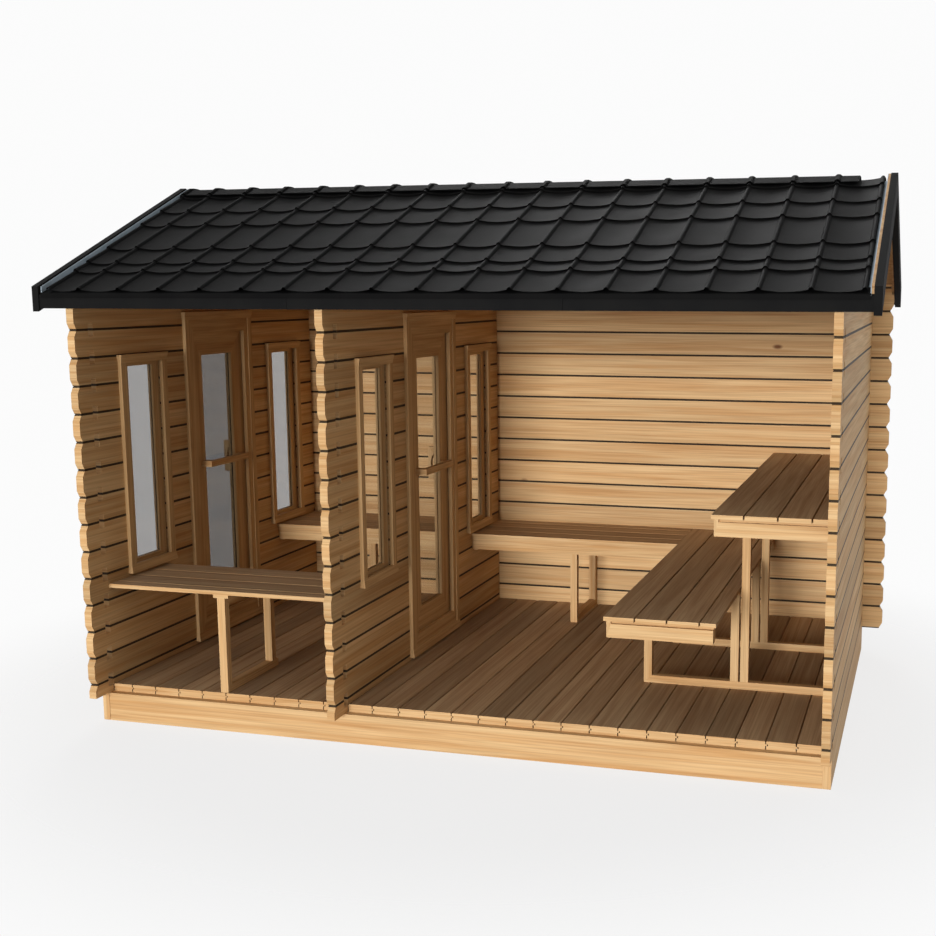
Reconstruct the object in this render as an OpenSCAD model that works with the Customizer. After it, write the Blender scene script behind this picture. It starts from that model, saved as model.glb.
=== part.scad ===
// Log sauna cabin with a dressing room, a sauna room and a pitched roof.
// The front long wall is left out, so both rooms stand open to the front.
// Millimetres, +Z up, origin under the middle of the cabin, front towards -Y.

/* [Body] */
// Length over the outer faces of the gable walls
body_l = 3774; // [3000:1:6000]
// Depth over the outer faces of the long walls
body_d = 2446; // [2000:1:4000]
// Clear width of the dressing room
dressing_l = 1302; // [1000:1:2500]
// Height of the base frame
frame_h = 148; // [100:1:250]
// Thickness of the side, middle and cross members of the base frame
frame_t = 38; // [30:1:60]
// Thickness of the front and back members of the base frame
frame_end_t = 76; // [60:1:120]
// Width of the open joints between the members of the base frame
frame_joint = 2; // [1:0.5:4]
// Thickness of the floor boards
floor_t = 40; // [20:1:60]
// Gap between the floor boards and the walls
floor_gap = 2; // [1:1:10]

/* [Logs] */
// Height of one log course
log_h = 140; // [100:1:200]
// Thickness of the logs
log_t = 40; // [30:1:80]
// How far the gable logs run past the long walls
log_end_y = 111; // [60:1:250]
// How far the back wall logs run past the gable walls
log_end_x = 122; // [60:1:135]
// Depth of the cut corners at a log end
nose_d = 20; // [5:1:40]
// Height of the cut corners at a log end
nose_h = 34; // [10:1:60]
// Depth of the groove between two logs
groove_d = 3; // [1:0.5:5]

/* [Doors] */
// Width between the outer sides of a door frame
door_frame_w = 650; // [500:1:900]
// Height of a door frame
door_frame_h = 1820; // [1500:1:2000]
// Height of the log left below a door frame
door_sill_h = 98; // [90:1:120]
// Width of the upright of a door frame
door_jamb_w = 45; // [40:1:80]
// Height of the head of a door frame
door_head_h = 77; // [40:1:120]
// Height of the threshold
threshold_h = 72; // [40:1:150]
// How far a door frame stands in front of the inner log face
frame_proud = 16; // [0:1:18]
// Thickness of the door leaf
leaf_t = 40; // [30:1:50]
// Width of the door stiles
stile_w = 123; // [60:1:160]
// Height of the door rails
rail_w = 137; // [60:1:200]
// Gap round the door leaf
door_gap = 8; // [6:0.5:12]
// Gap between the door leaf and its stop
stop_gap = 6; // [5:0.5:10]
// Height of the gap above and below the door leaf
leaf_gap_z = 6; // [5:0.5:12]
// Overlap of the leaf and the stop
stop_lap = 8; // [4:1:15]
// Gap between a frame and the logs at its sides
frame_fit = 5; // [2:1:10]
// Gap between a frame and the logs above it
settle_gap = 20; // [10:1:40]

/* [Casings] */
// Width of the casing boards
casing_w = 44; // [30:1:90]
// Thickness of the casing boards
casing_t = 20; // [10:1:30]
// Extra thickness of the head and sill boards at their outer edge
casing_flare = 8; // [0:1:15]
// Extra length of the head and sill boards at each end
casing_ear = 7; // [0:1:20]

/* [Windows] */
// Width between the side casings of a window
window_w = 332; // [200:1:600]
// Height between the head and sill casings of a window
window_h = 1072; // [400:1:1200]
// Height of the sill above the base frame
window_z = 636; // [500:1:900]
// Distance of a window's middle from the middle of the wall
window_y = 781; // [600:1:900]
// Width of the window frame members at the sides
sash_w = 61; // [30:1:80]
// Width of the window frame members at the top and bottom
sash_rail = 26; // [20:1:50]
// Depth of the window frame
sash_t = 28; // [22:1:29]
// Distance of the window frame behind the inner log face
sash_back = 11; // [0:1:30]
// How far the window frame reaches behind the casings
sash_lap = 6; // [2:1:20]
// Thickness of the glass
glass_t = 6; // [4:1:24]
// Depth of the glass groove
glass_lap = 8; // [4:1:15]
// Play of the glass in its groove
glass_play = 0.3; // [0.1:0.1:0.8]

/* [Handles and hinges] */
// Distance of the wooden bar's ends from the edges of the leaf
bar_in = 75; // [10:1:90]
// Height of the wooden bar
bar_h = 34; // [20:1:50]
// Thickness of the wooden bar
bar_t = 30; // [20:1:40]
// How far the bar stands off the door
bar_off = 36; // [25:1:60]
// Length of the blocks behind the bar
bar_block = 60; // [30:1:100]
// Height of the bar's middle above the base frame
bar_z = 1081; // [800:1:1300]
// Height of the wooden pull outside a door
pull_h = 190; // [120:1:300]
// Width of the pull
pull_w = 28; // [20:1:50]
// Distance of the pull from the glass
pull_in = 6; // [2:1:60]
// Depth of the pull
pull_d = 36; // [30:1:50]
// Depth of the finger space behind the pull
pull_gap = 20; // [15:1:30]
// Radius of the curve behind the pull
pull_r = 100; // [80:1:150]
// Radius of the hinge pin
pin_r = 5; // [3:0.5:8]
// Radius of the hinge knuckle
knuckle_r = 8; // [6:0.5:12]
// Height of one hinge knuckle
knuckle_h = 40; // [25:1:60]
// Gap between the pin and the knuckle round it
pin_play = 0.08; // [0.02:0.01:0.1]
// Gap between the two knuckles of a hinge
knuckle_gap = 0.5; // [0.2:0.1:0.9]
// Thickness of the hinge plates
plate_t = 3; // [2:0.5:4]
// Width of the hinge plate on the frame
plate_frame_w = 24; // [15:1:26]
// Width of the hinge plate on the leaf
plate_leaf_w = 60; // [30:1:90]

/* [Benches] */
// Height of the lower bench tops above the base frame
bench_z = 575; // [450:1:600]
// Height of the upper bench top above the base frame
upper_z = 1082; // [900:1:1200]
// Thickness of the bench slats
slat_t = 20; // [15:1:30]
// Width of a full slat
slat_w = 145; // [90:1:150]
// Width of the narrow slat
slat_end_w = 74; // [40:1:140]
// Gap between two slats
slat_gap = 8; // [5:1:15]
// Gap between a bench and the walls
bench_gap = 2; // [1:1:10]
// Distance of the front bench edges from the front wall line
bench_front = 7; // [5:1:60]
// Width of the bench frame members
post_w = 42; // [30:1:60]
// Height of the bench rails
rail_h = 40; // [30:1:60]
// Thickness of the strip between rail and slats
strip_t = 16; // [10:1:25]
// Height of the apron boards
apron_h = 80; // [50:1:120]
// Thickness of the apron boards
apron_t = 20; // [15:1:30]
// Distance of an apron behind the slat edge
apron_in = 14; // [0:1:30]
// Height of the short apron at a bench end
end_apron_h = 66; // [40:1:80]
// Distance of the short apron behind the slat ends
end_apron_in = 5; // [0:1:20]
// Height of the cleats on the walls
cleat_h = 89; // [50:1:120]
// Thickness of the cleats on the walls
cleat_t = 30; // [20:1:45]
// Distance of the back post from the rail end in the front bench
post_in = 24; // [0:1:60]
// Length of the sauna back bench
back_bench_l = 1312; // [1000:1:2000]
// Distance of the first side bench frame from the middle
side_frame_1 = -430; // [-800:1:-200]
// Distance of the second side bench frame from the middle
side_frame_2 = 370; // [200:1:700]
// Gap between the lower and the upper bench posts
post_gap = 10; // [2:1:20]

/* [Roof] */
// Height of the barge boards at the ridge
ridge_h = 2820; // [2400:1:3500]
// Pitch of the roof
pitch = 22.5; // [15:0.5:35]
// Roof overhang past the gable walls
verge = 158; // [140:1:400]
// Roof overhang past the long walls
eave = 150; // [140:1:400]
// Thickness of the barge boards
barge_t = 35; // [20:1:45]
// Upright height of the barge boards
barge_h = 122; // [90:1:200]
// Thickness of the barge linings
lining_t = 12; // [8:1:25]
// Upright height of the barge linings
lining_h = 104; // [80:1:115]
// Depth of the left lining's edge below the top of the barge boards
lining_drop = 12; // [1:1:30]
// Depth of the right lining's edge below the top of the barge boards
lining_drop_right = 4; // [1:1:30]
// Depth of the roof boards below the top of the barge boards
deck_drop = 44; // [30:1:60]
// Thickness of the roof boards
deck_t = 18; // [15:1:30]
// Thickness of the underlay
felt_t = 3; // [2:0.5:5]
// Distance of the underlay edge below the barge top
felt_drop = 4; // [2:1:15]
// Thickness of the eave fascia
fascia_t = 20; // [15:1:35]
// Height of the eave fascia
fascia_h = 66; // [50:1:150]
// Distance of the fascia behind the barge end
fascia_in = 8; // [4:1:30]
// Gap between two lengths of the fascia
fascia_gap = 1.5; // [1:0.5:5]
// Distance between two ribs of the roof sheets
rib_pitch = 221; // [150:1:300]
// Width of a rib at its foot
rib_w = 26; // [20:1:60]
// Width of a rib at its top
rib_top = 10; // [6:1:30]
// Height of a rib
rib_h = 12; // [8:1:20]
// Depth of the pan between two ribs
pan_d = 10; // [6:1:30]
// Extra height of the sheets at the ridge
sheet_rise = 12; // [0:1:16]
// Thickness of the roof sheets
sheet_t = 3; // [1:0.5:5]
// Gap between the last rib and the barge lining
rib_gap = 10; // [6:1:40]
// Gap between the first rib and the barge lining
rib_gap_left = 28; // [6:1:60]
// Distance of a sheet's upper edge from the ridge
sheet_top = 34; // [32:1:100]
// Distance of a sheet's lower edge behind the barge end
sheet_in = 14; // [13:1:30]
// Half width of the ridge cap
cap_w = 118; // [90:1:180]
// Half width of the cap's level top
cap_flat = 40; // [30:1:42]
// Thickness of the ridge cap
cap_t = 4; // [2:0.5:6]
// Distance of the ridge cap from the left barge lining
cap_in_left = 20; // [10:1:100]
// Distance of the ridge cap from the right barge lining
cap_in_right = 139; // [10:1:200]

/* [Hidden] */
$fn = 48;
pine = [0.80, 0.60, 0.38];
pine_dark = [0.52, 0.38, 0.24];
tar = [0.10, 0.10, 0.10];
grey = [0.52, 0.57, 0.60];
glass_c = [0.75, 0.76, 0.76, 0.6];
steel = [0.45, 0.46, 0.48];
tp = tan(pitch);
hl = body_l / 2;
hd = body_d / 2;
// Inner log faces, and the two faces of the partition
left_in = -hl + log_t;
part_out = left_in + dressing_l;
part_in = part_out + log_t;
right_in = hl - log_t;
y_in = hd - log_t;
floor_z = frame_h + floor_t;
// Roof planes, as heights at the ridge
deck_top = ridge_h - deck_drop;
deck_bottom = deck_top - deck_t / cos(pitch);
rh = hd + eave;
rl = hl + verge;
lining_x = rl - barge_t - lining_t;
felt_x = lining_x - felt_t;

// A (Y, Z) outline drawn out along +X
module along_x(l) {
    rotate([90, 0, 90])
        linear_extrude(height = l)
            children();
}

// An (X, Z) outline drawn out along +Y
module along_y(l) {
    translate([0, l, 0])
        rotate([90, 0, 0])
            linear_extrude(height = l)
                children();
}

module box(a, b) {
    translate(a)
        cube(b - a);
}

// ---- Log walls ----

// Cross-section of a wall of logs with grooved joints at the given heights
module log_section(joints, top) {
    n = len(joints);
    polygon(concat(
        [[0, 0]],
        [for (i = [0 : n - 1]) each [[0, joints[i] - groove_d], [groove_d, joints[i]], [0, joints[i] + groove_d]]],
        [[0, top], [log_t, top]],
        [for (i = [n - 1 : -1 : 0]) each
            [[log_t, joints[i] + groove_d], [log_t - groove_d, joints[i]], [log_t, joints[i] - groove_d]]],
        [[log_t, 0]]));
}

// One end of a wall's outline: e is the end, s points outwards
function log_end(e, s, z0, z1, first) =
    first ? [[e, z0], [e, z1 - nose_h], [e - s * nose_d, z1]]
          : [[e - s * nose_d, z0], [e, z0 + nose_h], [e, z1 - nose_h], [e - s * nose_d, z1]];

function reversed(a) = [for (i = [len(a) - 1 : -1 : 0]) a[i]];

// Outline of a wall whose first log is z1 high, half width e
module wall_outline(e, z1, courses, top) {
    right = [for (k = [0 : courses]) each
        log_end(e, 1, k == 0 ? 0 : z1 + (k - 1) * log_h, z1 + k * log_h, k == 0 && z1 < log_h)];
    left = [for (k = [0 : courses]) each
        log_end(-e, -1, k == 0 ? 0 : z1 + (k - 1) * log_h, z1 + k * log_h, k == 0 && z1 < log_h)];
    polygon(concat(right, [[e - nose_d, top], [-e + nose_d, top]], reversed(left)));
}

gable_joints = [for (z = [log_h / 2 : log_h : 18.6 * log_h]) z];
long_joints = [for (z = [log_h : log_h : 14.1 * log_h]) z];
wall_top = ridge_h - frame_h;

// Everything below the underside of the roof boards
module under_roof() {
    translate([-rl, 0, 0])
        along_x(2 * rl)
            polygon([[-rh, 0], [rh, 0], [rh, deck_bottom - rh * tp], [0, deck_bottom], [-rh, deck_bottom - rh * tp]]);
}

// The cross notches of a gable wall at both long walls
module gable_notches(x) {
    for (y = [-hd, hd - log_t])
        for (k = [0 : 15])
            box([x - 1, y, frame_h + (k + 0.25) * log_h], [x + log_t + 1, y + log_t, frame_h + (k + 0.75) * log_h]);
}

// A whole gable wall with its outer face at x
module gable_wall(x) {
    difference() {
        intersection() {
            translate([x, -hd - log_end_y - 1, frame_h])
                along_y(body_d + 2 * log_end_y + 2)
                    log_section(gable_joints, wall_top);
            translate([x - 1, 0, frame_h])
                along_x(log_t + 2)
                    wall_outline(hd + log_end_y, log_h / 2, 15, wall_top);
            under_roof();
        }
        gable_notches(x);
    }
}

// Height of the log joint over the doors
door_split = frame_h + 13.5 * log_h;
opening_w = door_frame_w + 2 * frame_fit;
opening_top = frame_h + door_sill_h + door_frame_h + settle_gap;
sash_ow = window_w + 2 * sash_lap;
sash_oh = window_h + 2 * sash_lap;

module door_opening(x) {
    box([x - 1, -opening_w / 2, frame_h + door_sill_h], [x + log_t + 1, opening_w / 2, opening_top]);
}

module window_openings(x) {
    for (s = [-1, 1])
        box([x - 1, s * window_y - sash_ow / 2 - frame_fit, frame_h + window_z - sash_lap],
            [x + log_t + 1, s * window_y + sash_ow / 2 + frame_fit, frame_h + window_z + window_h + sash_lap + frame_fit]);
}

// The three parts of a gable wall with a door and two windows
module door_wall(x, which) {
    far = hd + log_end_y + 10;
    color(pine)
        difference() {
            gable_wall(x);
            door_opening(x);
            window_openings(x);
            if (which == "front") {
                box([x - 5, -far, door_split], [x + log_t + 5, far, ridge_h]);
                box([x - 5, opening_w / 2, 0], [x + log_t + 5, far, ridge_h]);
            }
            if (which == "back") {
                box([x - 5, -far, door_split], [x + log_t + 5, far, ridge_h]);
                box([x - 5, -far, 0], [x + log_t + 5, opening_w / 2, ridge_h]);
            }
            if (which == "top")
                box([x - 5, -far, 0], [x + log_t + 5, far, door_split]);
        }
}

module right_wall() {
    color(pine)
        gable_wall(right_in);
}

module back_wall() {
    color(pine)
        difference() {
            intersection() {
                translate([-hl - log_end_x - 1, hd - log_t, frame_h])
                    along_x(body_l + 2 * log_end_x + 2)
                        log_section(long_joints, wall_top);
                translate([0, hd - log_t - 1, frame_h])
                    along_y(log_t + 2)
                        wall_outline(hl + log_end_x, log_h, 15, wall_top);
                under_roof();
            }
            for (s = [-1, 1])
                box([s * rl - (s > 0 ? barge_t + lining_t + 2 : 1), hd - log_t - 1, ridge_h - hd * tp - lining_h - 4],
                    [s * rl + (s > 0 ? 1 : barge_t + lining_t + 2), hd + 1, ridge_h]);
            for (x = [-hl, part_out, right_in])
                for (k = [0 : 16])
                    box([x, hd - log_t - 1, frame_h + (k - 0.25) * log_h], [x + log_t, hd + 1, frame_h + (k + 0.25) * log_h]);
        }
}

// ---- Base and floor ----

module floor_frame() {
    color(pine) {
        difference() {
            box([-hl, -hd, 0], [hl, hd, frame_h]);
            box([-hl + frame_t, -hd + frame_end_t, -1], [hl - frame_t, hd - frame_end_t, frame_h + 1]);
            for (x = [-hl + frame_t, hl - frame_t])
                for (y = [-hd, hd])
                    box([x - frame_joint / 2, y - 2 * frame_joint, -1], [x + frame_joint / 2, y + 2 * frame_joint, frame_h + 1]);
        }
        box([part_out, -hd + frame_end_t - 1, 0], [part_out + frame_t, hd - frame_end_t + 1, frame_h]);
        for (y = [-body_d / 4, 0, body_d / 4])
            box([-hl + frame_t - 1, y - frame_t / 2, 0], [hl - frame_t + 1, y + frame_t / 2, frame_h]);
    }
}

module floor_dressing() {
    color(pine_dark)
        box([left_in + floor_gap, -y_in, frame_h], [part_out - floor_gap, y_in - floor_gap, floor_z]);
}

module floor_sauna() {
    color(pine_dark)
        box([part_in + floor_gap, -y_in, frame_h], [right_in - floor_gap, y_in - floor_gap, floor_z]);
}

// ---- Doors ----

leaf_hw = door_frame_w / 2 - door_jamb_w + stop_lap;
clear_hw = door_frame_w / 2 - door_jamb_w;
df_z0 = frame_h + door_sill_h;
df_z1 = df_z0 + door_frame_h;
clear_z0 = df_z0 + threshold_h;
clear_z1 = df_z1 - door_head_h;
leaf_z0 = clear_z0 - stop_lap;
leaf_z1 = clear_z1 + stop_lap;
// Leaf faces measured from the inner log face, w
leaf_in = frame_proud - 28;
leaf_out = leaf_in - leaf_t;
pin_x = leaf_out - plate_t - 6;
pin_y = -leaf_hw - door_gap / 2;

// A frame whose inner log face is at w
module door_frame(w) {
    color(pine_dark)
        difference() {
            box([w + leaf_out, -door_frame_w / 2, df_z0], [w + frame_proud, door_frame_w / 2, df_z1]);
            box([w - 200, -clear_hw, clear_z0], [w + 200, clear_hw, clear_z1]);
            box([w - 200, -leaf_hw - door_gap, leaf_z0 - leaf_gap_z],
                [w + leaf_in + stop_gap, leaf_hw + door_gap, leaf_z1 + leaf_gap_z]);
        }
}

// A head or sill board: s is 1 for a board that flares upwards, -1 downwards
module flared_board(half, s) {
    h0 = s > 0 ? 0 : casing_flare;
    h1 = s > 0 ? casing_flare : 0;
    e0 = s > 0 ? 0 : casing_ear;
    e1 = s > 0 ? casing_ear : 0;
    intersection() {
        translate([0, -half - casing_ear - 1, 0])
            along_y(2 * (half + casing_ear + 1))
                polygon([[0, 0], [casing_t + h0, 0], [casing_t + h1, casing_w], [0, casing_w]]);
        translate([-1, 0, 0])
            along_x(casing_t + casing_flare + 2)
                polygon([[-half - e0, 0], [half + e0, 0], [half + e1, casing_w], [-half - e1, casing_w]]);
    }
}

// Casings round an opening, on a face that looks along +X
module casing_ring(hw, z0, z1) {
    for (s = [-1, 1])
        box([0, min(s * hw, s * (hw + casing_w)), z0], [casing_t, max(s * hw, s * (hw + casing_w)), z1]);
    translate([0, 0, z1])
        flared_board(hw + casing_w, 1);
    translate([0, 0, z0 - casing_w])
        flared_board(hw + casing_w, -1);
}

// Casings on both faces of a wall whose inner log face is at w
module casings(w, hw, z0, z1) {
    translate([w, 0, 0])
        casing_ring(hw, z0, z1);
    translate([w - log_t, 0, 0])
        mirror([1, 0, 0])
            casing_ring(hw, z0, z1);
}

module door_casings(w) {
    color(pine_dark)
        casings(w, door_frame_w / 2, df_z0, df_z1);
}

hinge_z = [leaf_z0 + 200, (leaf_z0 + leaf_z1) / 2, leaf_z1 - 200];

// Frame side of the hinges: plates, lower knuckles and pins
module door_pins(w) {
    color(steel)
        for (z = hinge_z) {
            box([w + leaf_out - plate_t, pin_y - plate_frame_w - 4, z - knuckle_h],
                [w + leaf_out, pin_y - door_gap / 2, z - 2]);
            translate([w + pin_x, pin_y, z - knuckle_h])
                cylinder(r = knuckle_r, h = knuckle_h);
            translate([w + pin_x, pin_y, z - 1])
                cylinder(r = pin_r, h = knuckle_h + 1);
        }
}

// Leaf side of the hinges: plates and upper knuckles
module door_hinges(w) {
    color(steel)
        for (z = hinge_z)
            difference() {
                union() {
                    box([w + leaf_out - plate_t, -leaf_hw, z + 2],
                        [w + leaf_out, -leaf_hw + plate_leaf_w, z + knuckle_h]);
                    box([w + pin_x, pin_y, z + 2],
                        [w + leaf_out - plate_t + 1, -leaf_hw + 1, z + knuckle_h]);
                    translate([w + pin_x, pin_y, z + knuckle_gap])
                        cylinder(r = knuckle_r, h = knuckle_h - knuckle_gap);
                }
                translate([w + pin_x, pin_y, z - 1])
                    cylinder(r = pin_r + pin_play, h = knuckle_h + 3);
            }
}

module door_leaf(w) {
    gx = w + leaf_in - leaf_t / 2;
    color(pine_dark)
        difference() {
            box([w + leaf_out, -leaf_hw, leaf_z0], [w + leaf_in, leaf_hw, leaf_z1]);
            box([w - 200, -leaf_hw + stile_w, leaf_z0 + rail_w], [w + 200, leaf_hw - stile_w, leaf_z1 - rail_w]);
            glass_block(gx, 0, leaf_hw - stile_w, leaf_z0 + rail_w, leaf_z1 - rail_w, glass_play);
        }
}

// A pane with its middle plane at x, and play round it
module glass_block(x, y, hw, z0, z1, play) {
    box([x - glass_t / 2 - play, y - hw - glass_lap - play, z0 - glass_lap - play],
        [x + glass_t / 2 + play, y + hw + glass_lap + play, z1 + glass_lap + play]);
}

module door_glass(w) {
    color(glass_c)
        glass_block(w + leaf_in - leaf_t / 2, 0, leaf_hw - stile_w, leaf_z0 + rail_w, leaf_z1 - rail_w, 0);
}

// The bar inside and the curved pull outside
module door_handles(w) {
    bar_l = 2 * (leaf_hw - bar_in);
    bz = frame_h + bar_z;
    py = leaf_hw - stile_w + pull_in + pull_w / 2;
    color(pine) {
        box([w + leaf_in + bar_off, -bar_l / 2, bz - bar_h / 2], [w + leaf_in + bar_off + bar_t, bar_l / 2, bz + bar_h / 2]);
        for (s = [-1, 1])
            box([w + leaf_in, s * (bar_l - bar_block) / 2 - bar_block / 2, bz - bar_h / 2],
                [w + leaf_in + bar_off + 1, s * (bar_l - bar_block) / 2 + bar_block / 2, bz + bar_h / 2]);
        difference() {
            box([w + leaf_out - pull_d, py - pull_w / 2, bz - pull_h / 2], [w + leaf_out, py + pull_w / 2, bz + pull_h / 2]);
            translate([w + leaf_out - pull_gap + pull_r, py - pull_w, bz])
                rotate([-90, 0, 0])
                    cylinder(r = pull_r, h = 2 * pull_w, $fn = 96);
        }
    }
}

// ---- Windows ----

module each_window() {
    for (w = [left_in, part_in])
        for (s = [-1, 1])
            translate([w, s * window_y, frame_h + window_z])
                children();
}

module window_frames() {
    gx = -sash_back - sash_t / 2;
    color(pine_dark)
        each_window()
            difference() {
                box([-sash_back - sash_t, -sash_ow / 2, -sash_lap], [-sash_back, sash_ow / 2, window_h + sash_lap]);
                box([-200, -sash_ow / 2 + sash_w, -sash_lap + sash_rail],
                    [200, sash_ow / 2 - sash_w, window_h + sash_lap - sash_rail]);
                glass_block(gx, 0, sash_ow / 2 - sash_w, sash_rail - sash_lap, window_h + sash_lap - sash_rail, glass_play);
            }
}

module window_glass() {
    color(glass_c)
        each_window()
            glass_block(-sash_back - sash_t / 2, 0, sash_ow / 2 - sash_w,
                sash_rail - sash_lap, window_h + sash_lap - sash_rail, 0);
}

module window_casings() {
    color(pine_dark)
        each_window()
            casings(0, window_w / 2, 0, window_h);
}

// ---- Benches ----

bench_d = 3 * (slat_w + slat_gap) + slat_end_w;
under = slat_t + strip_t;
side_x0 = right_in - bench_gap - bench_d;
lower_x0 = part_in + bench_gap + back_bench_l + bench_gap;

// Slats that run along X from y0, the narrow one last
module slats_x(x0, x1, y0, z, narrow_first) {
    off = narrow_first ? slat_end_w + slat_gap : 0;
    for (i = [0 : 2])
        box([x0, y0 + off + i * (slat_w + slat_gap), z - slat_t], [x1, y0 + off + i * (slat_w + slat_gap) + slat_w, z]);
    n0 = narrow_first ? y0 : y0 + 3 * (slat_w + slat_gap);
    box([x0, n0, z - slat_t], [x1, n0 + slat_end_w, z]);
}

// Slats that run along Y from x0, the narrow one last
module slats_y(x0, y0, y1, z) {
    for (i = [0 : 2])
        box([x0 + i * (slat_w + slat_gap), y0, z - slat_t], [x0 + i * (slat_w + slat_gap) + slat_w, y1, z]);
    box([x0 + 3 * (slat_w + slat_gap), y0, z - slat_t], [x0 + bench_d, y1, z]);
}

// A standing frame along Y: rail on the floor, two posts, rail and strip under the slats
module trestle_y(x, y0, y1, z, back_in) {
    box([x - post_w / 2, y0, floor_z], [x + post_w / 2, y1, floor_z + rail_h]);
    box([x - post_w / 2, y0, floor_z + rail_h - 1], [x + post_w / 2, y0 + post_w, z - under - rail_h + 1]);
    box([x - post_w / 2, y1 - back_in - post_w, floor_z + rail_h - 1],
        [x + post_w / 2, y1 - back_in, z - under - rail_h + 1]);
    box([x - post_w / 2, y0, z - under - rail_h], [x + post_w / 2, y1, z - under]);
    box([x - post_w, y0, z - under - 1], [x + post_w, y1, z - slat_t]);
}

front_y0 = -y_in + bench_front;
back_y0 = y_in - bench_gap - bench_d;

module dressing_front_bench_top() {
    color(pine_dark)
        slats_x(left_in + bench_gap, part_out - bench_gap, front_y0, frame_h + bench_z, true);
}

module dressing_front_bench_frame() {
    color(pine)
        trestle_y((left_in + part_out) / 2, front_y0, front_y0 + bench_d, frame_h + bench_z, post_in);
}

module dressing_back_bench_top() {
    color(pine_dark)
        slats_x(left_in + bench_gap, part_out - bench_gap, back_y0, frame_h + bench_z, false);
}

// Frame of a bench at the back wall between x0 and x1
module back_frame(x0, x1) {
    z = frame_h + bench_z;
    xm = (x0 + x1) / 2;
    trestle_y(xm, back_y0 + apron_in + apron_t, back_y0 + bench_d, z, 0);
    box([x0, back_y0 + apron_in, z - slat_t - apron_h], [x1, back_y0 + apron_in + apron_t, z - slat_t]);
    box([x0, back_y0 + apron_in + apron_t - 1, z - slat_t - cleat_h], [x0 + cleat_t, y_in, z - slat_t]);
    box([x1 - cleat_t, back_y0 + apron_in + apron_t - 1, z - slat_t - cleat_h], [x1, y_in, z - slat_t]);
}

module dressing_back_bench_frame() {
    color(pine)
        back_frame(left_in, part_out);
}

module sauna_back_bench_top() {
    color(pine_dark)
        slats_x(part_in + bench_gap, part_in + bench_gap + back_bench_l, back_y0, frame_h + bench_z, false);
}

module sauna_back_bench_frame() {
    color(pine)
        back_frame(part_in, part_in + bench_gap + back_bench_l);
}

module sauna_lower_bench_top() {
    color(pine_dark)
        slats_y(lower_x0, front_y0, y_in - bench_gap, frame_h + bench_z);
}

module sauna_upper_bench_top() {
    color(pine_dark)
        slats_y(side_x0, front_y0, y_in - bench_gap, frame_h + upper_z);
}

// Long apron, end apron, end rail and back cleat of a bench from x0 to x1
module side_bench_edge(x0, x1, z) {
    ya = front_y0 + end_apron_in;
    box([x0 + apron_in, ya, z - slat_t - apron_h], [x0 + apron_in + apron_t, y_in, z - slat_t]);
    box([x0 + apron_in + apron_t - 1, ya, z - slat_t - apron_h], [x1, ya + apron_t, z - slat_t - apron_h + end_apron_h]);
    box([x0 + apron_in + apron_t - 1, ya + apron_t - 1, z - slat_t - apron_h], [x1, ya + apron_t + post_w, z - slat_t]);
    box([x0 + apron_in + apron_t - 1, y_in - cleat_t, z - slat_t - cleat_h], [x1, y_in, z - slat_t]);
}

// One frame that carries the lower and the upper side bench, front face at y
module side_trestle(y) {
    leg_x0 = lower_x0 + apron_in + apron_t;
    low_x1 = lower_x0 + bench_d;
    up_x0 = max(low_x1 + post_gap, side_x0 + post_w);
    zl = frame_h + bench_z - slat_t;
    zu = frame_h + upper_z - slat_t;
    box([leg_x0, y, floor_z], [right_in, y + post_w, floor_z + rail_h]);
    box([leg_x0, y, floor_z + rail_h - 1], [leg_x0 + post_w, y + post_w, zl - strip_t]);
    box([low_x1 - post_w, y, floor_z + rail_h - 1], [low_x1, y + post_w, zl - strip_t]);
    box([leg_x0, y, zl - strip_t - rail_h], [low_x1, y + post_w, zl - strip_t]);
    box([leg_x0, y - post_w / 2, zl - strip_t - 1], [low_x1, y + post_w * 1.5, zl]);
    box([up_x0, y, floor_z + rail_h - 1], [up_x0 + post_w, y + post_w, zu - strip_t]);
    box([side_x0 + apron_in + apron_t - 1, y, zu - strip_t - rail_h], [right_in, y + post_w, zu - strip_t]);
    box([side_x0 + apron_in + apron_t - 1, y - post_w / 2, zu - strip_t - 1], [right_in, y + post_w * 1.5, zu]);
}

module sauna_side_bench_frames() {
    color(pine) {
        side_bench_edge(lower_x0, lower_x0 + bench_d - apron_in, frame_h + bench_z);
        side_bench_edge(side_x0, right_in, frame_h + upper_z);
        side_trestle(side_frame_1);
        side_trestle(side_frame_2);
    }
}

// ---- Roof ----

// A (Y, Z) band that follows both slopes, its top drop below the barge tops
module slope_band(half, drop, h) {
    z = ridge_h - drop;
    polygon([[-half, z - half * tp], [0, z], [half, z - half * tp],
        [half, z - half * tp - h], [0, z - h], [-half, z - half * tp - h]]);
}

module roof_deck() {
    color(pine)
        translate([-lining_x, 0, 0])
            along_x(2 * lining_x)
                slope_band(rh - fascia_in - fascia_t, deck_drop, deck_top - deck_bottom);
}

module roof_underlay() {
    color(grey) {
        translate([-lining_x, 0, 0])
            along_x(2 * lining_x)
                slope_band(rh - fascia_in, deck_drop - felt_t, felt_t);
        for (x = [-lining_x, felt_x])
            translate([x, 0, 0])
                along_x(felt_t)
                    slope_band(rh - fascia_in, felt_drop, deck_drop - felt_drop);
    }
}

rib_last = felt_x - rib_gap - rib_w / 2;
rib_first = -felt_x + rib_gap_left + rib_w / 2;
ribs = concat([rib_first], [for (x = rib_last, k = 0; x > rib_first + rib_pitch / 2; x = x - rib_pitch, k = k + 1) x]);
pan_n = 6;

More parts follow.
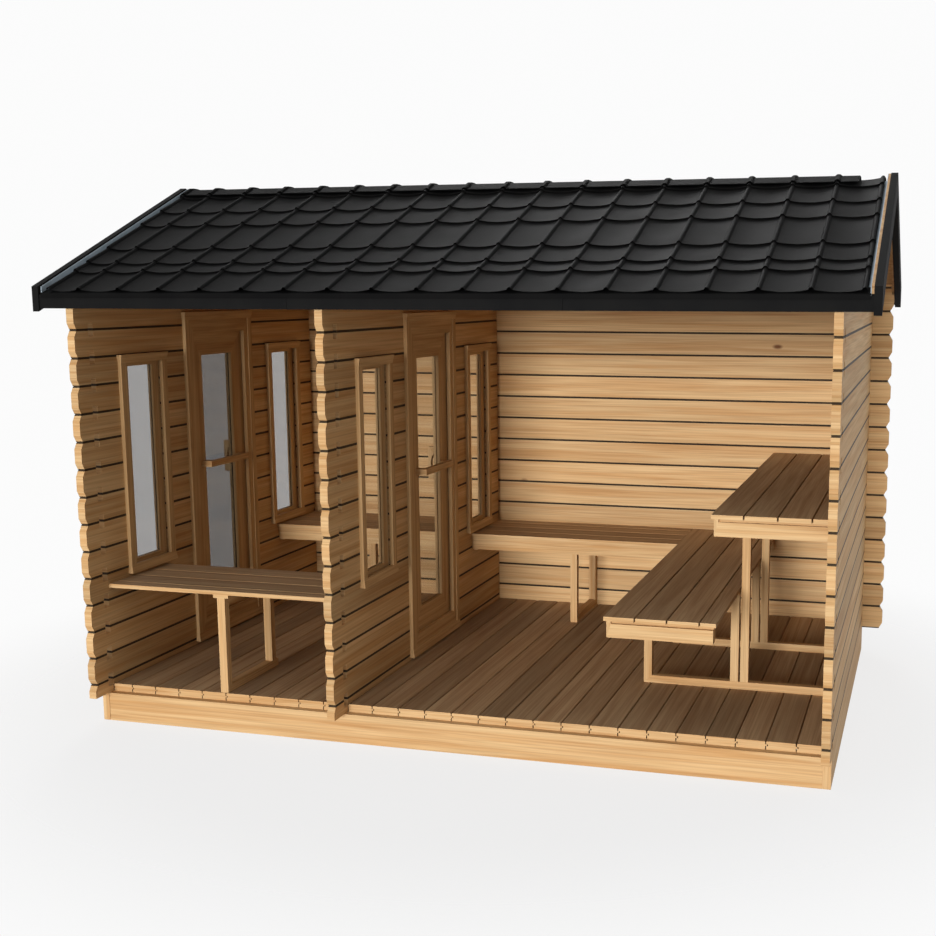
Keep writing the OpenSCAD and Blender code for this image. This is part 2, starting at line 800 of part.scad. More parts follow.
// Upper line of the sheet from left to right, at ribs x in rising order
function rib_line(x) = [[x - rib_w / 2, pan_d], [x - rib_top / 2, pan_d + rib_h], [x + rib_top / 2, pan_d + rib_h], [x + rib_w / 2, pan_d]];
function pan_line(a, b) = [for (i = [1 : pan_n - 1]) [a + (b - a) * i / pan_n, pan_d * pow(2 * i / pan_n - 1, 2)]];
rib_x = concat([rib_first], reversed([for (i = [1 : len(ribs) - 1]) ribs[i]]));
sheet_line = [for (i = [0 : len(rib_x) - 1]) each
    concat(rib_line(rib_x[i]), i < len(rib_x) - 1 ? pan_line(rib_x[i] + rib_w / 2, rib_x[i + 1] - rib_w / 2) : [])];

// Slope of the sheets, and height of their lower edge
sheet_a = pitch + atan(sheet_rise * cos(pitch) / (rh - sheet_in));
sheet_z0 = deck_top + felt_t + 0.3 - (rh - sheet_in) * tp;

// One roof sheet on the front slope
module sheet() {
    translate([0, -(rh - sheet_in), sheet_z0])
        rotate([sheet_a, 0, 0])
            along_y((rh - sheet_in - sheet_top) / cos(sheet_a))
                polygon(concat([for (p = sheet_line) [p[0], p[1] + sheet_t]], reversed(sheet_line)));
}

module roof_sheet_front() {
    color(tar)
        sheet();
}

module roof_sheet_back() {
    color(tar)
        mirror([0, 1, 0])
            sheet();
}

// Height at which the planes of the rib tops meet
rib_z = sheet_z0 + (rh - sheet_in) * tan(sheet_a) + (pan_d + rib_h + sheet_t) / cos(sheet_a) + 0.2;

module ridge_cap() {
    ta = tan(sheet_a);
    ys = [cap_w, cap_flat];
    top = rib_z - cap_flat * ta;
    outer = concat([for (y = ys) [-y, rib_z - y * ta + cap_t]], [for (y = reversed(ys)) [y, rib_z - y * ta + cap_t]]);
    inner = concat([for (y = ys) [y, rib_z - y * ta]], [[0, top + 1]], [for (y = reversed(ys)) [-y, rib_z - y * ta]]);
    color(tar)
        translate([-lining_x + cap_in_left, 0, 0])
            along_x(2 * lining_x - cap_in_left - cap_in_right)
                polygon(concat(outer, inner));
}

module fascia_boards() {
    y0 = rh - fascia_in - fascia_t;
    y1 = rh - fascia_in;
    zb = deck_top - y1 * tp - fascia_h;
    long = 2 * (rl - barge_t);
    color(tar)
        for (s = [0, 1], i = [0 : 2])
            mirror([0, s, 0])
                translate([-long / 2 + i * (long + fascia_gap) / 3, 0, 0])
                    along_x((long - 2 * fascia_gap) / 3)
                        polygon([[-y1, zb], [-y0, zb], [-y0, deck_top - y0 * tp], [-y1, deck_top - y1 * tp]]);
}

module barge_boards() {
    color(tar)
        for (x = [-rl, rl - barge_t])
            translate([x, 0, 0])
                along_x(barge_t)
                    slope_band(rh, 0, barge_h);
}

module barge_linings() {
    half = rh - fascia_in - fascia_t;
    color(pine) {
        translate([-rl + barge_t, 0, 0])
            along_x(lining_t)
                slope_band(half, lining_drop, lining_h - lining_drop);
        translate([lining_x, 0, 0])
            along_x(lining_t)
                slope_band(half, lining_drop_right, lining_h - lining_drop_right);
    }
}

floor_frame();
floor_dressing();
floor_sauna();
door_wall(-hl, "front");  // left_wall_front
door_wall(-hl, "back");  // left_wall_back
door_wall(-hl, "top");  // left_wall_top
door_wall(part_out, "front");  // partition_front
door_wall(part_out, "back");  // partition_back
door_wall(part_out, "top");  // partition_top
right_wall();
back_wall();
door_frame(left_in);  // outer_door_frame
door_casings(left_in);  // outer_door_casings
door_pins(left_in);  // outer_door_pins
door_leaf(left_in);  // outer_door_leaf
door_glass(left_in);  // outer_door_glass
door_handles(left_in);  // outer_door_handles
door_hinges(left_in);  // outer_door_hinges
door_frame(part_in);  // sauna_door_frame
door_casings(part_in);  // sauna_door_casings
door_pins(part_in);  // sauna_door_pins
door_leaf(part_in);  // sauna_door_leaf
door_glass(part_in);  // sauna_door_glass
door_handles(part_in);  // sauna_door_handles
door_hinges(part_in);  // sauna_door_hinges
window_frames();
window_glass();
window_casings();
dressing_front_bench_top();
dressing_front_bench_frame();
dressing_back_bench_top();
dressing_back_bench_frame();
sauna_back_bench_top();
sauna_back_bench_frame();
sauna_lower_bench_top();
sauna_upper_bench_top();
sauna_side_bench_frames();
roof_deck();
roof_underlay();
roof_sheet_front();
roof_sheet_back();
ridge_cap();
fascia_boards();
barge_boards();
barge_linings();
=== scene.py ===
import math
import bpy
import bmesh
from mathutils import Matrix, Vector


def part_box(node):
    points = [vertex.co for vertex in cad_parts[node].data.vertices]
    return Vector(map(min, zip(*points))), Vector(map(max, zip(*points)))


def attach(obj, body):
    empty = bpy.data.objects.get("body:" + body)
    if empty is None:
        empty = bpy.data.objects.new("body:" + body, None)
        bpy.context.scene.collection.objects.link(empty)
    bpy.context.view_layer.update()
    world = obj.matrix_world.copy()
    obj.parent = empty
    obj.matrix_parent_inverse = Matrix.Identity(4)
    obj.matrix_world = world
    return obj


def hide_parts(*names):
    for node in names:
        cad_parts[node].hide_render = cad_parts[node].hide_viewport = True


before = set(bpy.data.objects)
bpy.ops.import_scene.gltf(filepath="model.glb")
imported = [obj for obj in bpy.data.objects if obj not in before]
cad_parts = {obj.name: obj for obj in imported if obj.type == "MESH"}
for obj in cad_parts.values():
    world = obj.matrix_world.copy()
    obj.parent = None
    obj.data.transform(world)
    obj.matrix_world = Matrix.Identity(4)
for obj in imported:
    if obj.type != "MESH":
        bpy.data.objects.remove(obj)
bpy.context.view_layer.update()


# ---- Base frame ----
# Planed pine beams set on edge and screwed together: the whole cabin stands on them.
# The fibres of each beam run along its own length, with darker late-wood streaks.
PINE = (0.68, 0.45, 0.22)
PINE_STREAK = (0.56, 0.31, 0.12)
AXES = ("x", "y", "z")


def new_material(name):
    m = bpy.data.materials.new(name)
    m.use_nodes = True
    tree = m.node_tree
    return m, tree, tree.nodes["Principled BSDF"], tree.nodes.new("ShaderNodeTexCoord").outputs["Object"]


def calculated(tree, operation, *values):
    node = tree.nodes.new("ShaderNodeMath")
    node.operation = operation
    for socket, value in zip(node.inputs, values):
        if isinstance(value, float):
            socket.default_value = value
        else:
            tree.links.new(value, socket)
    return node.outputs[0]


def brightened(tree, colour, factor):
    node = tree.nodes.new("ShaderNodeVectorMath")
    node.operation = "SCALE"
    tree.links.new(colour, node.inputs[0])
    tree.links.new(factor, node.inputs["Scale"])
    return node.outputs[0]


def multiplied(tree, colour, over):
    node = tree.nodes.new("ShaderNodeMix")
    node.data_type = "RGBA"
    node.blend_type = "MULTIPLY"
    node.inputs["Factor"].default_value = 1.0
    tree.links.new(colour, node.inputs[6])
    tree.links.new(over, node.inputs[7])
    return node.outputs[2]


def stretched(tree, place, across, along, grain):
    node = tree.nodes.new("ShaderNodeMapping")
    scale = [across] * 3
    scale[grain] = along
    node.inputs["Scale"].default_value = scale
    tree.links.new(place, node.inputs["Vector"])
    return node.outputs[0]


def noise(tree, place, scale, detail, distortion=0.0):
    node = tree.nodes.new("ShaderNodeTexNoise")
    node.inputs["Scale"].default_value = scale
    node.inputs["Detail"].default_value = detail
    node.inputs["Distortion"].default_value = distortion
    tree.links.new(place, node.inputs["Vector"])
    return node.outputs["Fac"]


def ramp(tree, value, low, low_colour, high, high_colour):
    node = tree.nodes.new("ShaderNodeValToRGB")
    ends = node.color_ramp.elements
    for end, position, colour in ((ends[0], low, low_colour), (ends[1], high, high_colour)):
        end.position = position
        end.color = (*colour, 1)
    tree.links.new(value, node.inputs["Fac"])
    return node.outputs["Color"]


def spread(tree, value, low, high):
    node = tree.nodes.new("ShaderNodeMapRange")
    node.inputs["To Min"].default_value = low
    node.inputs["To Max"].default_value = high
    tree.links.new(value, node.inputs["Value"])
    return node.outputs[0]


# grain is the axis of the fibres. courses is (axis, cover, first joint) of logs or boards laid side by side,
# each with a tone of its own between tones, and joint is half the width of the dark line between two of them.
def wood(name, light, dark, grain, scale=1.0, knots=False, courses=None, joint=None, tones=(0.86, 1.1)):
    m, tree, shader, place = new_material(name)
    shader.inputs["Roughness"].default_value = 0.62
    shader.inputs["Specular IOR Level"].default_value = 0.25
    if courses:
        axis, cover, first = courses
        split = tree.nodes.new("ShaderNodeSeparateXYZ")
        tree.links.new(place, split.inputs[0])
        height = calculated(tree, "SUBTRACT", split.outputs[axis], first)
        number = calculated(tree, "FLOOR", calculated(tree, "DIVIDE", height, cover))
        chance = tree.nodes.new("ShaderNodeTexWhiteNoise")
        chance.noise_dimensions = "1D"
        tree.links.new(number, chance.inputs["W"])
        shift = tree.nodes.new("ShaderNodeVectorMath")
        shift.operation = "MULTIPLY_ADD"
        shift.inputs[1].default_value = (7.0, 7.0, 7.0)
        tree.links.new(chance.outputs["Color"], shift.inputs[0])
        tree.links.new(place, shift.inputs[2])
        place = shift.outputs[0]
    rings = noise(tree, stretched(tree, place, 26.0 * scale, 0.8 * scale, grain), 1.0, 6.0, 0.6)
    fibres = noise(tree, stretched(tree, place, 130.0 * scale, 1.8 * scale, grain), 1.0, 3.0)
    colour = multiplied(tree, ramp(tree, rings, 0.34, dark, 0.62, light),
                        ramp(tree, fibres, 0.3, (0.78, 0.74, 0.70), 0.6, (1, 1, 1)))
    if knots:
        cells = tree.nodes.new("ShaderNodeTexVoronoi")
        cells.inputs["Scale"].default_value = 1.0
        tree.links.new(stretched(tree, place, 3.2, 1.5, grain), cells.inputs["Vector"])
        knot = ramp(tree, cells.outputs["Distance"], 0.03, (0.30, 0.17, 0.08), 0.06, (1, 1, 1))
        colour = multiplied(tree, colour, knot)
    if courses:
        colour = brightened(tree, colour, spread(tree, chance.outputs["Value"], *tones))
    if joint:
        off_joint = calculated(tree, "PINGPONG", height, cover / 2)
        face = calculated(tree, "GREATER_THAN", off_joint, joint)
        colour = brightened(tree, colour, spread(tree, face, 0.07, 1.0))
    tree.links.new(colour, shader.inputs["Base Color"])
    bump = tree.nodes.new("ShaderNodeBump")
    bump.inputs["Strength"].default_value = 0.12
    bump.inputs["Distance"].default_value = 0.001
    tree.links.new(fibres, bump.inputs["Height"])
    tree.links.new(bump.outputs[0], shader.inputs["Normal"])
    return m


def by_grain(name, light, dark, scale=1.0):
    return [wood(name + "_" + axis, light, dark, grain, scale) for grain, axis in enumerate(AXES)]


# Members run along different axes, so each face takes the grain of its own longest side.
def finish_members(node, timbers):
    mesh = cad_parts[node].data
    mesh.materials.clear()
    for timber in timbers:
        mesh.materials.append(timber)
    for face in mesh.polygons:
        corners = [mesh.vertices[v].co for v in face.vertices]
        spans = [max(c[i] for c in corners) - min(c[i] for c in corners) for i in range(3)]
        face.material_index = spans.index(max(spans))


finish_members("floor_frame", by_grain("pine_beam", PINE, PINE_STREAK))


# ---- Floor boards ----
# Tongue-and-groove pine boards laid across the joists, their ends flush with the front; their darker brown is
# painted shade.
# The tongue on one edge of a board sits in the groove of the next one, and their top edges are eased.
# Painted shade: the floor boards and bench slats are the same pine, darkened where their tops face away from
# the front lamp.
SHADED_PINE = (0.51, 0.35, 0.20)
SHADED_PINE_STREAK = (0.38, 0.23, 0.12)
BOARD_TONES = (0.72, 1.15)
HALF_GAP = 0.0026
EASED = 0.0032
TONGUE = 0.008
TONGUE_LEVEL = 0.017
TONGUE_PLAY = 0.0005
LAST_BOARD_LEAST = 0.02
# The faces towards the front keep the plain pine colour, so they stay paler than the painted shade of the
# rest.
board_ends = wood("board_ends", PINE, PINE_STREAK, 0, scale=2.2)


def add_piece(bm, name, m, *nodes):
    bmesh.ops.recalc_face_normals(bm, faces=bm.faces)
    mesh = bpy.data.meshes.new(name)
    bm.to_mesh(mesh)
    bm.free()
    piece = bpy.data.objects.new(name, mesh)
    bpy.context.collection.objects.link(piece)
    mesh.materials.append(m)
    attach(piece, "cabin")
    if nodes:
        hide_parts(*nodes)
    return piece


def drawn_out(bm, outline, way):
    face = bm.faces.new([bm.verts.new(p) for p in outline])
    grown = bmesh.ops.extrude_face_region(bm, geom=[face])["geom"]
    moved = [v for v in grown if isinstance(v, bmesh.types.BMVert)]
    bmesh.ops.translate(bm, verts=moved, vec=way)


# Faces square to one axis take a material of their own: log ends the same pine with the grain turned, board
# and slat fronts plain pine, paler than their painted shade.
def pale_ends(mesh, axis, m, front_only=False):
    mesh.materials.append(m)
    for face in mesh.polygons:
        across = -face.normal[axis] if front_only else abs(face.normal[axis])
        if across > 0.6:
            face.material_index = len(mesh.materials) - 1


def board_outline(a, b, bottom, top, grooved, tongued):
    level = bottom + TONGUE_LEVEL
    left = [(a, bottom), (a, level)]
    if grooved:
        left = [(a, bottom), (a, level - TONGUE_PLAY), (a + TONGUE, level - TONGUE_PLAY),
                (a + TONGUE, level + TONGUE + TONGUE_PLAY), (a, level + TONGUE + TONGUE_PLAY)]
    right = [(b, level + TONGUE), (b, bottom)]
    if tongued:
        right[1:1] = [(b + TONGUE, level + TONGUE), (b + TONGUE, level), (b, level)]
    return left + [(a, top - EASED), (a + EASED, top), (b - EASED, top), (b, top - EASED)] + right


for room, first, cover in (("dressing", -1.7348, 0.13706), ("sauna", -0.3732, 0.1398)):
    low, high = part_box("floor_" + room)
    joints = [low[0]]
    x = first
    while x < high[0] - LAST_BOARD_LEAST:
        joints.append(x)
        x += cover
    joints.append(high[0])
    bm = bmesh.new()
    last = len(joints) - 2
    for i in range(last + 1):
        a, b = joints[i] + HALF_GAP, joints[i + 1] - HALF_GAP
        outline = board_outline(a, b, low[2], high[2], i > 0, i < last)
        drawn_out(bm, [(px, low[1], pz) for px, pz in outline], (0, high[1] - low[1], 0))
    shaded_boards = wood("floor_boards_" + room, SHADED_PINE, SHADED_PINE_STREAK, 1,
                 courses=("X", cover, first), tones=BOARD_TONES)
    boards = add_piece(bm, "floor_" + room + "_boards", shaded_boards, "floor_" + room)
    pale_ends(boards.data, 1, board_ends, front_only=True)


# ---- Log walls ----
# Machined pine logs with rounded ends, laid on one another and lapped where two walls cross.
# The side walls and the partition lie half a course lower than the back wall; a dark joint shows at each.
LOG = 0.14
LOG_JOINT = 0.0062
BACK_WALL_FOOT = 0.148
SIDE_WALL_FOOT = BACK_WALL_FOOT - LOG / 2


def put(node, m):
    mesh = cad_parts[node].data
    mesh.materials.clear()
    mesh.materials.append(m)
    return mesh


def logs(name, grain, foot, **finish):
    return wood(name, PINE, PINE_STREAK, grain, courses=("Z", LOG, foot), joint=LOG_JOINT, **finish)


side_logs = logs("pine_wall_y", 1, SIDE_WALL_FOOT, knots=True)
side_log_ends = logs("log_ends_y", 0, SIDE_WALL_FOOT, scale=1.8)
for node in ("left_wall_front", "left_wall_back", "left_wall_top",
             "partition_front", "partition_back", "partition_top", "right_wall"):
    pale_ends(put(node, side_logs), 1, side_log_ends)
back_logs = logs("pine_wall_x", 0, BACK_WALL_FOOT, knots=True)
back_log_ends = logs("log_ends_x", 1, BACK_WALL_FOOT, scale=1.8)
pale_ends(put("back_wall", back_logs), 0, back_log_ends)


# ---- Doors ----
# Two framed pine doors, one in the outer wall and one in the partition, each in a rebated frame
# with flat casings around the doorway. A bar is the handle inside and a curved pull the one outside.
joinery = by_grain("joinery", (0.64, 0.42, 0.20), (0.50, 0.29, 0.12), scale=1.5)
small_pine = by_grain("pine_small", PINE, PINE_STREAK, scale=1.6)
for door in ("outer_door", "sauna_door"):
    for part in ("_frame", "_casings", "_leaf"):
        finish_members(door + part, joinery)
    finish_members(door + "_handles", small_pine)


# ---- Door hinges ----
# Steel hinges with fixed pins, one half on the frame and the other on the leaf.
# Their brushed finish has faint duller patches.
def coating(name, colour, worn, roughness, patches=6.0, sheen=0.15):
    m, tree, shader, place = new_material(name)
    cloud = noise(tree, place, patches, 5.0)
    tree.links.new(ramp(tree, cloud, 0.35, colour, 0.65, worn), shader.inputs["Base Color"])
    tree.links.new(spread(tree, cloud, roughness - 0.06, roughness + 0.08), shader.inputs["Roughness"])
    shader.inputs["Specular IOR Level"].default_value = sheen
    return m


steel = coating("hinge_steel", (0.30, 0.30, 0.31), (0.40, 0.40, 0.41), 0.35, 60.0)
steel.node_tree.nodes["Principled BSDF"].inputs["Metallic"].default_value = 1.0
for door in ("outer_door", "sauna_door"):
    put(door + "_pins", steel)
    put(door + "_hinges", steel)


# ---- Windows ----
# Four narrow fixed windows, two beside each door: a pine frame in the wall with its pane in a sash,
# and flat casings on both faces of the wall.
finish_members("window_frames", joinery)
finish_members("window_casings", joinery)


# ---- Panes ----
# Clear glass held in the leaves and the sashes. The panes of the outer wall are greyish,
# that of the outer door is darker as painted shade, and those of the partition let the rooms show.
PARTITION_SIDE = -1.2


def pane(name, colour, cover):
    m = coating(name, colour, tuple(c * 1.06 for c in colour), 0.12, 3.0, 0.3)
    m.node_tree.nodes["Principled BSDF"].inputs["Alpha"].default_value = cover
    return m


# Painted shade: the outer door's pane is darker and covers more than the window panes.
put("outer_door_glass", pane("pane_outer_door", (0.06, 0.06, 0.06), 0.66))
put("sauna_door_glass", pane("pane_sauna_door", (0.03, 0.025, 0.02), 0.22))
panes = put("window_glass", pane("pane_outer_wall", (0.16, 0.165, 0.165), 0.45))
panes.materials.append(pane("pane_partition", (0.05, 0.045, 0.04), 0.14))
for face in panes.polygons:
    face.material_index = int(face.center.x > PARTITION_SIDE)


# ---- Bench tops ----
# Four wide pine slats to a bench, fixed on its frame with a narrow gap between them, darker as painted shade.
# Each slat has a tone of its own, and its face towards the front keeps the paler plain pine colour.
SLAT_COVER = 0.153
for node, grain, axis, first in (
        ("dressing_front_bench_top", 0, "Y", -1.251),
        ("dressing_back_bench_top", 0, "Y", 0.644),
        ("sauna_back_bench_top", 0, "Y", 0.644),
        ("sauna_lower_bench_top", 1, "X", 0.807),
        ("sauna_upper_bench_top", 1, "X", 1.308)):
    # Painted shade: the slats are darker pine than their frames, and only their fronts take the plain pine.
    slats = wood(node + "_slats", SHADED_PINE, SHADED_PINE_STREAK, grain, scale=1.2,
                 courses=(axis, SLAT_COVER, first), tones=(0.84, 1.08))
    pale_ends(put(node, slats), 1, board_ends, front_only=True)


# ---- Bench frames ----
# Planed pine posts, rails, aprons and cleats, butted and fixed together, which carry the slats.
# Each member's fibres run along its own length.
for node in ("dressing_front_bench_frame", "dressing_back_bench_frame",
             "sauna_back_bench_frame", "sauna_side_bench_frames"):
    finish_members(node, small_pine)


# ---- Roof boards and underlay ----
# Pine boards laid side by side from eave to ridge, with their joints showing from below,
# and a blue-grey underlay rolled out on them, its colour lifted as painted light against the barge boards'
# shadow.
ROOF_BOARD = 0.1293
put("roof_deck", wood("roof_boards", (0.55, 0.35, 0.18), (0.42, 0.24, 0.10), 0,
                      courses=("Y", ROOF_BOARD, 0.0), joint=0.0015))
# Painted light: the underlay colour is brighter than its own to make up for the barge boards' shadow on the
# strip that shows.
put("roof_underlay", coating("underlay", (0.36, 0.43, 0.48), (0.44, 0.50, 0.55), 0.8, 30.0))


# ---- Roof sheets ----
# Tile-profile steel sheets, painted black, on both slopes: concave pans between narrow ribs,
# with a step down at the end of each course. The courses have uneven lengths.
PITCH = math.radians(22.5)
FALL = math.tan(PITCH)
RUN = 1.359
SHEET_LIFT = 0.012
SLOPE = PITCH + math.atan(SHEET_LIFT * math.cos(PITCH) / RUN)
UNDERLAY_PEAK = 2.776
SHEET_PEAK = UNDERLAY_PEAK + 0.0033
FIRST_RIB = -1.954
LAST_RIB = 1.972
RIB_SPACING = 0.221
RIBS = [FIRST_RIB] + [LAST_RIB - RIB_SPACING * k for k in range(17, -1, -1)]
RIB_HALF = 0.013
RIB_ROUND = ((-RIB_HALF, 0.0), (-0.009, 0.007), (-0.005, 0.011), (0.0, 0.012),
             (0.005, 0.011), (0.009, 0.007), (RIB_HALF, 0.0))
PAN_FLOOR = 0.002
PAN_DEPTH = 0.010
PAN_STEPS = 12
COURSES = (0.0, 0.242, 0.359, 0.554, 0.897, 1.109, 1.336, 1.452)
COURSE_STEP = 0.009
STEP_LENGTH = 0.003
SHEET_STEEL = 0.0016
black_sheet = coating("roof_sheet", (0.0030, 0.0030, 0.0031), (0.0050, 0.0049, 0.0048), 0.6, sheen=0.03)


def pans_and_ribs():
    points = []
    for i, rib in enumerate(RIBS):
        points += [(rib + dx, PAN_FLOOR + PAN_DEPTH + h) for dx, h in RIB_ROUND]
        if rib != RIBS[-1]:
            left = rib + RIB_HALF
            width = RIBS[i + 1] - RIB_HALF - left
            for j in range(1, PAN_STEPS):
                share = j / PAN_STEPS
                points.append((left + width * share, PAN_FLOOR + PAN_DEPTH * (2 * share - 1) ** 2))
    return points


def sheet_moves():
    moves = []
    for i in range(len(COURSES) - 1):
        overlap = STEP_LENGTH if i else 0.0
        moves.append((0, COURSES[i + 1] - COURSES[i] + overlap, -COURSE_STEP))
        if i < len(COURSES) - 2:
            moves.append((0, -STEP_LENGTH, COURSE_STEP))
    return moves


for slope, front in (("front", True), ("back", False)):
    bm = bmesh.new()
    row = [bm.verts.new((x, 0.0, h + COURSE_STEP)) for x, h in pans_and_ribs()]
    edges = [bm.edges.new(pair) for pair in zip(row, row[1:])]
    for move in sheet_moves():
        grown = bmesh.ops.extrude_edge_only(bm, edges=edges)["geom"]
        moved = [v for v in grown if isinstance(v, bmesh.types.BMVert)]
        bmesh.ops.translate(bm, verts=moved, vec=move)
        edges = [e for e in grown if isinstance(e, bmesh.types.BMEdge)]
    bmesh.ops.recalc_face_normals(bm, faces=bm.faces)
    bmesh.ops.solidify(bm, geom=bm.faces[:], thickness=SHEET_STEEL)
    bmesh.ops.rotate(bm, verts=bm.verts[:], cent=(0, 0, 0), matrix=Matrix.Rotation(SLOPE, 3, "X"))
    bmesh.ops.translate(bm, verts=bm.verts[:], vec=(0, -RUN, SHEET_PEAK - RUN * FALL))
    if not front:
        bmesh.ops.scale(bm, verts=bm.verts[:], vec=(1, -1, 1))
    add_piece(bm, "roof_sheet_" + slope + "_tiles", black_sheet, "roof_sheet_" + slope)


# ---- Drip edges ----
# A strip of the same black steel under the sheets along each eave,
# bent down over the fascia so that water drips clear of it.
DRIP_PEAK = UNDERLAY_PEAK + 0.0036
DRIP_OUT = 1.372
DRIP_IN = 1.290
DRIP_TURN = 0.016
DRIP_STEEL = 0.0015
DRIP_BEND = 0.006
DRIP_HALF_LENGTH = 1.9975


def roof_level(y):
    return DRIP_PEAK - y * FALL


for slope, side in (("front", -1), ("back", 1)):
    bend = roof_level(DRIP_OUT)
    inner = DRIP_OUT - 0.0065
    outline = ((DRIP_OUT, bend - DRIP_TURN), (DRIP_OUT, bend + DRIP_BEND),
               (DRIP_OUT - 2 * DRIP_STEEL, bend + DRIP_BEND + 2 * DRIP_STEEL),
               (DRIP_IN, roof_level(DRIP_IN) + DRIP_STEEL), (DRIP_IN, roof_level(DRIP_IN)),
               (inner, roof_level(inner)), (DRIP_OUT - DRIP_STEEL, bend - DRIP_TURN))
    bm = bmesh.new()
    drawn_out(bm, [(-DRIP_HALF_LENGTH, side * y, z) for y, z in outline], (2 * DRIP_HALF_LENGTH, 0, 0))
    add_piece(bm, slope + "_drip_edge", black_sheet)


# ---- Ridge cap ----
# A bent cap of the same black steel over the ridge, which covers the upper ends of the sheets
# and is formed into a rounded band over each of their ribs.
CAP_HALF = 0.118
CAP_FLAT = 0.040
CAP_END_LEFT = 0.01
CAP_END_RIGHT = 0.03
BANDS = ((0.016, 0.004), (0.012, 0.008), (0.007, 0.0105))
put("ridge_cap", black_sheet)
low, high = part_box("ridge_cap")
crown = high[2]
cap_edge = crown - (CAP_HALF - CAP_FLAT) * math.tan(SLOPE)
bm = bmesh.new()
for x in RIBS:
    if low[0] + CAP_END_LEFT < x < high[0] - CAP_END_RIGHT:
        for half, up in BANDS:
            rising = [(-CAP_HALF, cap_edge - 0.004), (-CAP_HALF, cap_edge + up),
                      (-CAP_FLAT - 0.002, crown + up - 0.002), (-0.020, crown + up)]
            falling = [(-y, z) for y, z in reversed(rising)]
            under = [(CAP_FLAT, crown - 0.002), (-CAP_FLAT, crown - 0.002)]
            drawn_out(bm, [(x - half, y, z) for y, z in rising + falling + under], (2 * half, 0, 0))
add_piece(bm, "ridge_cap_bands", black_sheet)


# ---- Fascias, barge boards and verge linings ----
# Boards painted tar-black close the eaves and the gable edges of the roof.
# Unpainted linings cover the edges of the roof boards behind the barge boards.
tar_black = coating("tar_black", (0.0065, 0.0065, 0.0067), (0.0092, 0.0090, 0.0088), 0.75, sheen=0.05)
put("fascia_boards", tar_black)
put("barge_boards", tar_black)
put("barge_linings", wood("verge_lining", (0.56, 0.36, 0.18), (0.42, 0.22, 0.09), 1))


# ---- Studio floor ----
# A plain pale floor that keeps the cabin's soft shadow and fades into the backdrop around it.
# The pale background is what the camera, reflections and panes see; it doesn't light the cabin.
FLOOR_HALF = 60.0
FLOOR_LEVEL = -0.0005
FADE_FROM = 2.1
FADE_TO = 3.9


def seen_directly(tree):
    path = tree.nodes.new("ShaderNodeLightPath")
    seen = path.outputs["Is Camera Ray"]
    for ray in ("Is Glossy Ray", "Is Transmission Ray"):
        seen = calculated(tree, "MAXIMUM", seen, path.outputs[ray])
    return seen


def mixed(tree, share, first, second):
    node = tree.nodes.new("ShaderNodeMixShader")
    tree.links.new(share, node.inputs["Fac"])
    tree.links.new(first, node.inputs[1])
    tree.links.new(second, node.inputs[2])
    return node.outputs[0]


pale = coating("stage_white", (0.90, 0.90, 0.90), (0.92, 0.92, 0.92), 0.95, 0.5)
tree = pale.node_tree
distance = tree.nodes.new("ShaderNodeVectorMath")
distance.operation = "LENGTH"
tree.links.new(tree.nodes.new("ShaderNodeTexCoord").outputs["Object"], distance.inputs[0])
fade = tree.nodes.new("ShaderNodeMapRange")
fade.interpolation_type = "SMOOTHSTEP"
for socket, value in (("From Min", FADE_FROM), ("From Max", FADE_TO), ("To Min", 1.0), ("To Max", 0.0)):
    fade.inputs[socket].default_value = value
tree.links.new(distance.outputs["Value"], fade.inputs["Value"])
plain = tree.nodes.new("ShaderNodeEmission")
plain.inputs["Color"].default_value = (0.95, 0.95, 0.95, 1)
plain_share = calculated(tree, "MULTIPLY", seen_directly(tree), 0.82)
near = mixed(tree, plain_share, tree.nodes["Principled BSDF"].outputs[0], plain.outputs[0])
clear = tree.nodes.new("ShaderNodeBsdfTransparent")
faded = mixed(tree, fade.outputs[0], clear.outputs[0], near)
tree.links.new(faded, tree.nodes["Material Output"].inputs["Surface"])

bm = bmesh.new()
bmesh.ops.create_grid(bm, x_segments=1, y_segments=1, size=FLOOR_HALF)
bmesh.ops.translate(bm, verts=bm.verts[:], vec=(0, 0, FLOOR_LEVEL))
floor_mesh = bpy.data.meshes.new("stage_floor")
bm.to_mesh(floor_mesh)
bm.free()
floor_mesh.materials.append(pale)
stage_floor = bpy.data.objects.new("stage_floor", floor_mesh)
bpy.context.collection.objects.link(stage_floor)


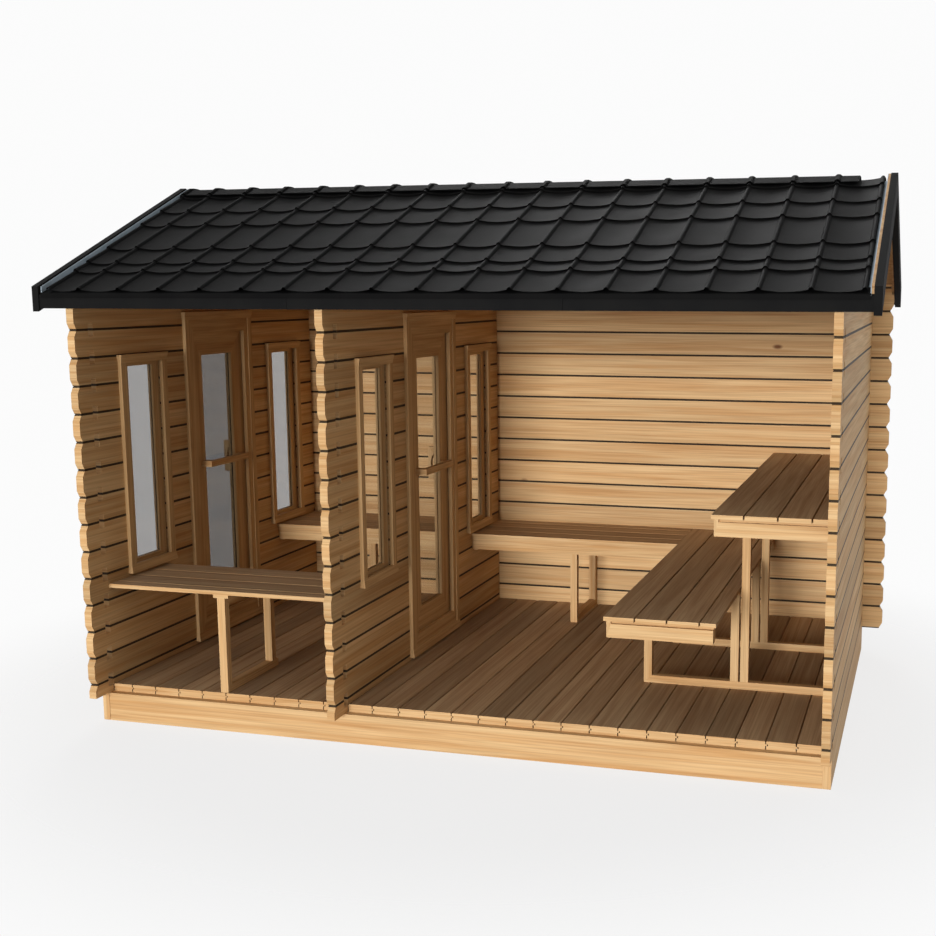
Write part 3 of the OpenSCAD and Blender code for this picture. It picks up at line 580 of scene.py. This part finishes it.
# ---- Backdrop ----
# Even light from all round, dimmer than the pale backdrop that shows behind the cabin.
# It fills the rooms and the undersides softly.
world = bpy.data.worlds.new("studio")
bpy.context.scene.world = world
world.use_nodes = True
tree = world.node_tree
fill = tree.nodes["Background"]
fill.inputs["Color"].default_value = (1, 1, 1, 1)
fill.inputs["Strength"].default_value = 0.42
backdrop = tree.nodes.new("ShaderNodeBackground")
backdrop.inputs["Color"].default_value = (0.97, 0.97, 0.97, 1)
backdrop.inputs["Strength"].default_value = 1.0
sky = mixed(tree, seen_directly(tree), fill.outputs[0], backdrop.outputs[0])
tree.links.new(sky, tree.nodes["World Output"].inputs["Surface"])


# ---- Lamps ----
# A broad soft lamp from the open front, low enough to reach the back wall,
# and a weaker one from behind for the far side of the roof and walls.
def lamp(name, towards, power, breadth):
    light = bpy.data.lights.new(name, "SUN")
    light.energy = power
    light.angle = math.radians(breadth)
    stand = bpy.data.objects.new(name, light)
    bpy.context.collection.objects.link(stand)
    stand.rotation_euler = Vector(towards).to_track_quat("-Z", "Y").to_euler()


lamp("key", (0.05, 1.0, -0.08), 2.75, 14)
lamp("back_fill", (0.3, -1.0, -0.6), 0.7, 20)


# ---- Camera ----
# It stands before the right half of the open front, a little above head height,
# and looks slightly down and to the left.
EYE = (2.266, -6.942, 2.236)
ahead = Vector((-0.25697, 0.95342, -0.15801)).normalized()
rightwards = Vector((0.96554, 0.26026, 0.00012)).normalized()
upwards = rightwards.cross(ahead).normalized()
rightwards = ahead.cross(upwards).normalized()
lens = bpy.data.cameras.new("camera")
lens.lens = 50.15
lens.sensor_width = 36.0
lens.shift_x = -0.1227
lens.shift_y = 0.0324
lens.dof.use_dof = False
camera = bpy.data.objects.new("camera", lens)
bpy.context.collection.objects.link(camera)
camera.matrix_world = Matrix((
    (rightwards.x, upwards.x, -ahead.x, EYE[0]),
    (rightwards.y, upwards.y, -ahead.y, EYE[1]),
    (rightwards.z, upwards.z, -ahead.z, EYE[2]),
    (0, 0, 0, 1)))
bpy.context.scene.camera = camera
bpy.context.scene.view_settings.view_transform = "Standard"
